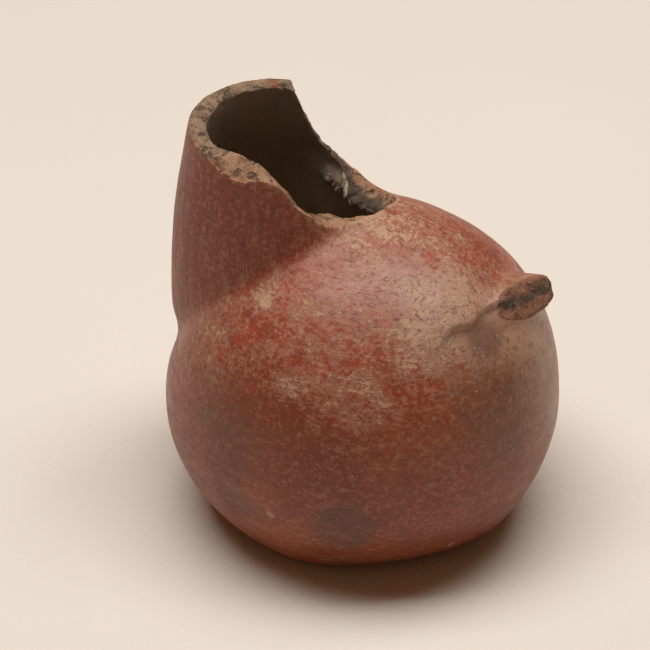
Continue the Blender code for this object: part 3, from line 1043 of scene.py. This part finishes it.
def stump_colour(clay, specks):
    """Colour of the broken face: brown to red, with a dark core along the middle."""
    grain = clay.cloud(420.0, 4.0, 0.75)
    wander = clay.times(clay.less(clay.cloud(260.0, 4.0, 0.75), 0.5), 2.4)
    core = clay.plus(clay.stored("stump_core"), wander)
    colour = clay.blend(clay.band(grain, 0.40, 0.60), FRACTURE_BROWN, FRACTURE_RED)
    colour = clay.blend(clay.band(core, 0.35, 0.95, 0.0, 0.9), colour, FRACTURE_CORE)
    buff = clay.band(clay.cloud(620.0, 4.0, 0.7), 0.54, 0.64)
    colour = clay.tinted(colour, FRACTURE_BUFF, buff, 0.75)
    return clay.tinted(colour, GRIT_WHITE, specks, 0.7)


def slipped_clay(groups):
    """Red slip, stroke burnished, rubbed through on the shoulder, brown and smoother low down; the shoulder's
    pale worn place is partly a painted highlight, and there is painted shade below the shelf and along the
    scar's edge.
    """
    clay = Clay("slipped_clay", groups)
    on_neck = clay.stored("on_neck")
    wander = clay.times(clay.cloud(40.0, 3.0, 0.6), 0.024)
    upper = clay.band(clay.plus(clay.level(), wander), 0.064, 0.084)
    upper_body = clay.times(upper, clay.less(1.0, on_neck))

    across = clay.shared("strokes", Stretch=(1.2, 1.2, 6.0), Fineness=62.0)
    upright = clay.shared("strokes", Stretch=(6.0, 6.0, 0.7), Fineness=62.0)
    streak = clay.mix_values(on_neck, across["Streak"], upright["Streak"])
    strokes = clay.mix_values(on_neck, across["Height"], upright["Height"])
    thin, gone, dark = slip_wear(clay, upper_body, on_neck)

    colour = fresh_slip(clay, upper, upper_body, on_neck, streak)
    for tint, mask, strength in ((SMOKE, dark, 0.45), (SLIP_THIN, thin, 0.62), (BARE_BUFF, gone, 0.70)):
        colour = clay.tinted(colour, tint, mask, strength)
    colour = clay.marked(colour, PATCHES)
    pitted = clay.band(clay.cloud(480.0, 4.0, 0.75), 0.34, 0.44, 0.6, 0.0)
    colour = clay.tinted(colour, SPECK_AND_SHADOW_BROWN, pitted, clay.spots(PALE_PATCH))
    fine = clay.cloud(700.0, 4.0, 0.75)
    colour = clay.blend(clay.band(fine, 0.53, 0.62, 0.0, 0.42), colour, SPECK_TAN)
    colour = clay.blend(clay.band(fine, 0.36, 0.47, 0.75, 0.0), colour, SPECK_DARK)
    # The marks include a painted shadow below the shelf's step
    colour = clay.marked(colour, MARKS)
    # Painted shadow: dark arc along the upper right edge of the scar's dent
    colour = clay.tinted(colour, SCAR_DARK_AND_RIM_SHADOW, scar_rim_shadow(clay), 0.75)
    grit = clay.shared("grit", Size=620.0, Pitting=0.5)
    colour = clay.tinted(colour, SMOKE, grit["Pits"], 0.20)
    colour = clay.tinted(colour, GRIT_WHITE, grit["Specks"], 0.50)

    stump = clay.shared("grit", Size=650.0, Pitting=0.9)
    torn_edge = clay.times(clay.less(clay.cloud(500.0, 3.0, 0.7), 0.5), 0.6)
    stump_break = clay.band(clay.plus(clay.stored("stump_break"), torn_edge), 0.42, 0.58)
    colour = clay.blend(stump_break, colour, stump_colour(clay, stump["Specks"]))
    clay.give("Base Color", colour)

    rough = clay.plus(clay.times(thin, 0.08), clay.times(on_neck, 0.08))
    rough = clay.plus(rough, 0.34)
    for mask, strength in ((gone, 0.20), (streak, 0.10)):
        rough = clay.plus(rough, clay.times(mask, strength))
    rough = clay.maths("MAXIMUM", rough, clay.times(stump_break, 0.92))
    clay.give("Roughness", rough)
    clay.give("Specular IOR Level", 0.42)

    height = clay.plus(strokes, clay.times(grit["Height"], 0.45))
    height = clay.less(height, clay.times(gone, 0.35))
    height = clay.less(height, clay.times(dark, 0.30))
    rough_break = clay.times(clay.times(stump["Height"], 5.0), stump_break)
    clay.raise_bumps(clay.plus(height, rough_break), SLIP_BUMP)
    return clay.material


def lip_clay(groups):
    """Top of the wall: worn grey-buff where the rim is left, gritty orange-buff where it broke."""
    clay = Clay("lip_clay", groups)
    grit = clay.shared("grit", Size=900.0, Pitting=0.9)
    mottle = clay.cloud(230.0, 5.0, 0.75)
    ragged = clay.times(clay.less(clay.cloud(260.0, 4.0, 0.7), 0.5), 2.2)

    worn = clay.blend(clay.band(mottle, 0.35, 0.62), RIM_GREY, RIM_BUFF)
    left = clay.band(clay.cloud(210.0, 3.0, 0.6), 0.60, 0.66)
    worn = clay.tinted(worn, SLIP_RED, left, 0.4)
    torn = clay.blend(clay.band(mottle, 0.36, 0.60), FRACTURE_BROWN, FRACTURE_BUFF)
    fresh = clay.band(clay.plus(clay.stored("fresh"), ragged), 0.3, 0.7)
    colour = clay.blend(fresh, worn, torn)

    border = clay.plus(clay.stored("through"), clay.times(ragged, 0.25))
    border = clay.band(border, 0.10, 0.28, 1.0, 0.0)
    border = clay.times(border, clay.band(clay.stored("broken"), 0.2, 0.8))
    colour = clay.tinted(colour, FRACTURE_ORANGE, border, 0.75)
    deep = clay.plus(clay.stored("through"), clay.times(ragged, 0.4))
    deep = clay.band(deep, 0.38, 0.62)
    deep = clay.times(deep, clay.stored("far_side"))
    colour = clay.tinted(colour, FRACTURE_CORE, deep, 0.85)
    colour = clay.tinted(colour, RIM_PIT, grit["Pits"], 0.55)
    colour = clay.tinted(colour, GRIT_WHITE, grit["Specks"], 0.5)
    green = clay.spots(LIP_STAIN)
    colour = clay.tinted(colour, STAIN_GREEN, green, 0.75)
    clay.give("Base Color", colour)
    clay.give("Roughness", clay.band(grit["Height"], 0.0, 1.0, 0.97, 0.80))
    clay.give("Specular IOR Level", 0.3)
    clay.raise_bumps(grit["Height"], LIP_BUMP)
    return clay.material


def hollow_clay(groups):
    """Bare, smoke-darkened hollow, with painted light in tan on the crest of the rough ledge."""
    clay = Clay("hollow_clay", groups)
    grit = clay.shared("grit", Size=600.0, Pitting=0.8)
    tone = clay.band(clay.cloud(60.0, 5.0, 0.65), 0.35, 0.68)
    colour = clay.blend(tone, HOLLOW_DARK, HOLLOW_BROWN)
    smoked = clay.band(clay.level(), 0.070, 0.115, 0.0, 0.6)
    colour = clay.blend(smoked, colour, HOLLOW_SMOKED)
    # Painted light: tan on the raised crest of the ledge, where the light through the mouth falls
    crumbs = clay.band(clay.cloud(300.0, 4.0, 0.7), 0.42, 0.62)
    painted_ledge_light = clay.times(clay.stored("ledge"), crumbs)
    colour = clay.tinted(colour, LEDGE_LIT_TAN, painted_ledge_light, 0.8)
    colour = clay.tinted(colour, GRIT_WHITE, grit["Specks"], 0.35)
    clay.give("Base Color", colour)
    clay.give("Roughness", clay.band(tone, 0.0, 1.0, 0.86, 0.97))
    clay.give("Specular IOR Level", 0.2)
    clay.raise_bumps(grit["Height"], HOLLOW_BUMP)
    return clay.material


def floor_cloth():
    """Pale cloth that the jug stands on."""
    clay = Clay("pale_cloth")
    threads = []
    for across in ("Y", "X"):
        values = {"Vector": clay.place, "Scale": THREADS, "Distortion": THREAD_WANDER}
        thread = clay.fed("ShaderNodeTexWave", values, wave_type="BANDS", bands_direction=across)
        threads.append(thread.outputs["Fac"])
    mottle = clay.cloud(9.0, 3.0, 0.5)
    clay.give("Base Color", clay.blend(mottle, CLOTH_SHADE, CLOTH_PALE))
    clay.give("Roughness", 0.95)
    clay.raise_bumps(clay.times(*threads), WEAVE_BUMP)
    return clay.material


def stand_floor():
    """Level floor, wide enough to fill the view."""
    mesh = bpy.data.meshes.new("floor")
    corners = [(FLOOR_HALF * x, FLOOR_HALF * y, 0.0) for x, y in ((-1, -1), (1, -1), (1, 1), (-1, 1))]
    mesh.from_pydata(corners, [], [(0, 1, 2, 3)])
    floor = bpy.data.objects.new("floor", mesh)
    floor.data.materials.append(floor_cloth())
    bpy.context.scene.collection.objects.link(floor)


def light_studio():
    """Wide soft light overhead and a little behind, in a dim warm room."""
    lamp = bpy.data.lights.new("overhead", "AREA")
    lamp.shape = "RECTANGLE"
    lamp.size = LIGHT_WIDTH
    lamp.size_y = LIGHT_DEPTH
    lamp.energy = LIGHT_POWER
    lamp.color = LIGHT_COLOUR
    light = bpy.data.objects.new("overhead", lamp)
    bpy.context.scene.collection.objects.link(light)
    light.location = LIGHT_PLACE
    light.rotation_euler = (Vector(LIGHT_TARGET) - Vector(LIGHT_PLACE)).to_track_quat("-Z", "Y").to_euler()
    world = bpy.data.worlds.new("room")
    world.use_nodes = True
    backdrop = world.node_tree.nodes["Background"]
    backdrop.inputs["Color"].default_value = (*ROOM_COLOUR, 1.0)
    backdrop.inputs["Strength"].default_value = ROOM_STRENGTH
    bpy.context.scene.world = world
    bpy.context.scene.view_settings.view_transform = "Standard"


def set_camera():
    """Camera at the photograph's place."""
    turn = math.radians(CAMERA_TURN)
    lift = math.radians(CAMERA_ELEVATION)
    right = Vector((math.cos(turn), math.sin(turn), 0.0))
    away = Vector((-math.sin(turn), math.cos(turn), 0.0))
    upward = Vector((0.0, 0.0, 1.0))
    forward = away * math.cos(lift) - upward * math.sin(lift)
    up = away * math.sin(lift) + upward * math.cos(lift)
    place = right * AIM_ACROSS + upward * AIM_HEIGHT - forward * CAMERA_DISTANCE
    lens = bpy.data.cameras.new("camera")
    lens.sensor_width = SENSOR_WIDTH
    lens.lens = CAMERA_DISTANCE / METRES_PER_PIXEL * SENSOR_WIDTH / PICTURE_WIDTH
    lens.clip_start = NEAREST_VIEW
    camera = bpy.data.objects.new("camera", lens)
    camera.matrix_world = Matrix.Translation(place) @ Matrix((right, up, -forward)).transposed().to_4x4()
    bpy.context.scene.collection.objects.link(camera)
    bpy.context.scene.camera = camera


def dress_jug():
    """Build the jug's skin, give it its clays and let it stand for the solid."""
    jug = build_jug()
    groups = {"spot": soft_spot_group(), "strokes": strokes_group(),
              "grit": grit_group(), "wear": wear_group()}
    for make_clay in (slipped_clay, lip_clay, hollow_clay):
        jug.data.materials.append(make_clay(groups))
    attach(jug, "root")
    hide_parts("jug")


set_camera()
stand_floor()
light_studio()
dress_jug()
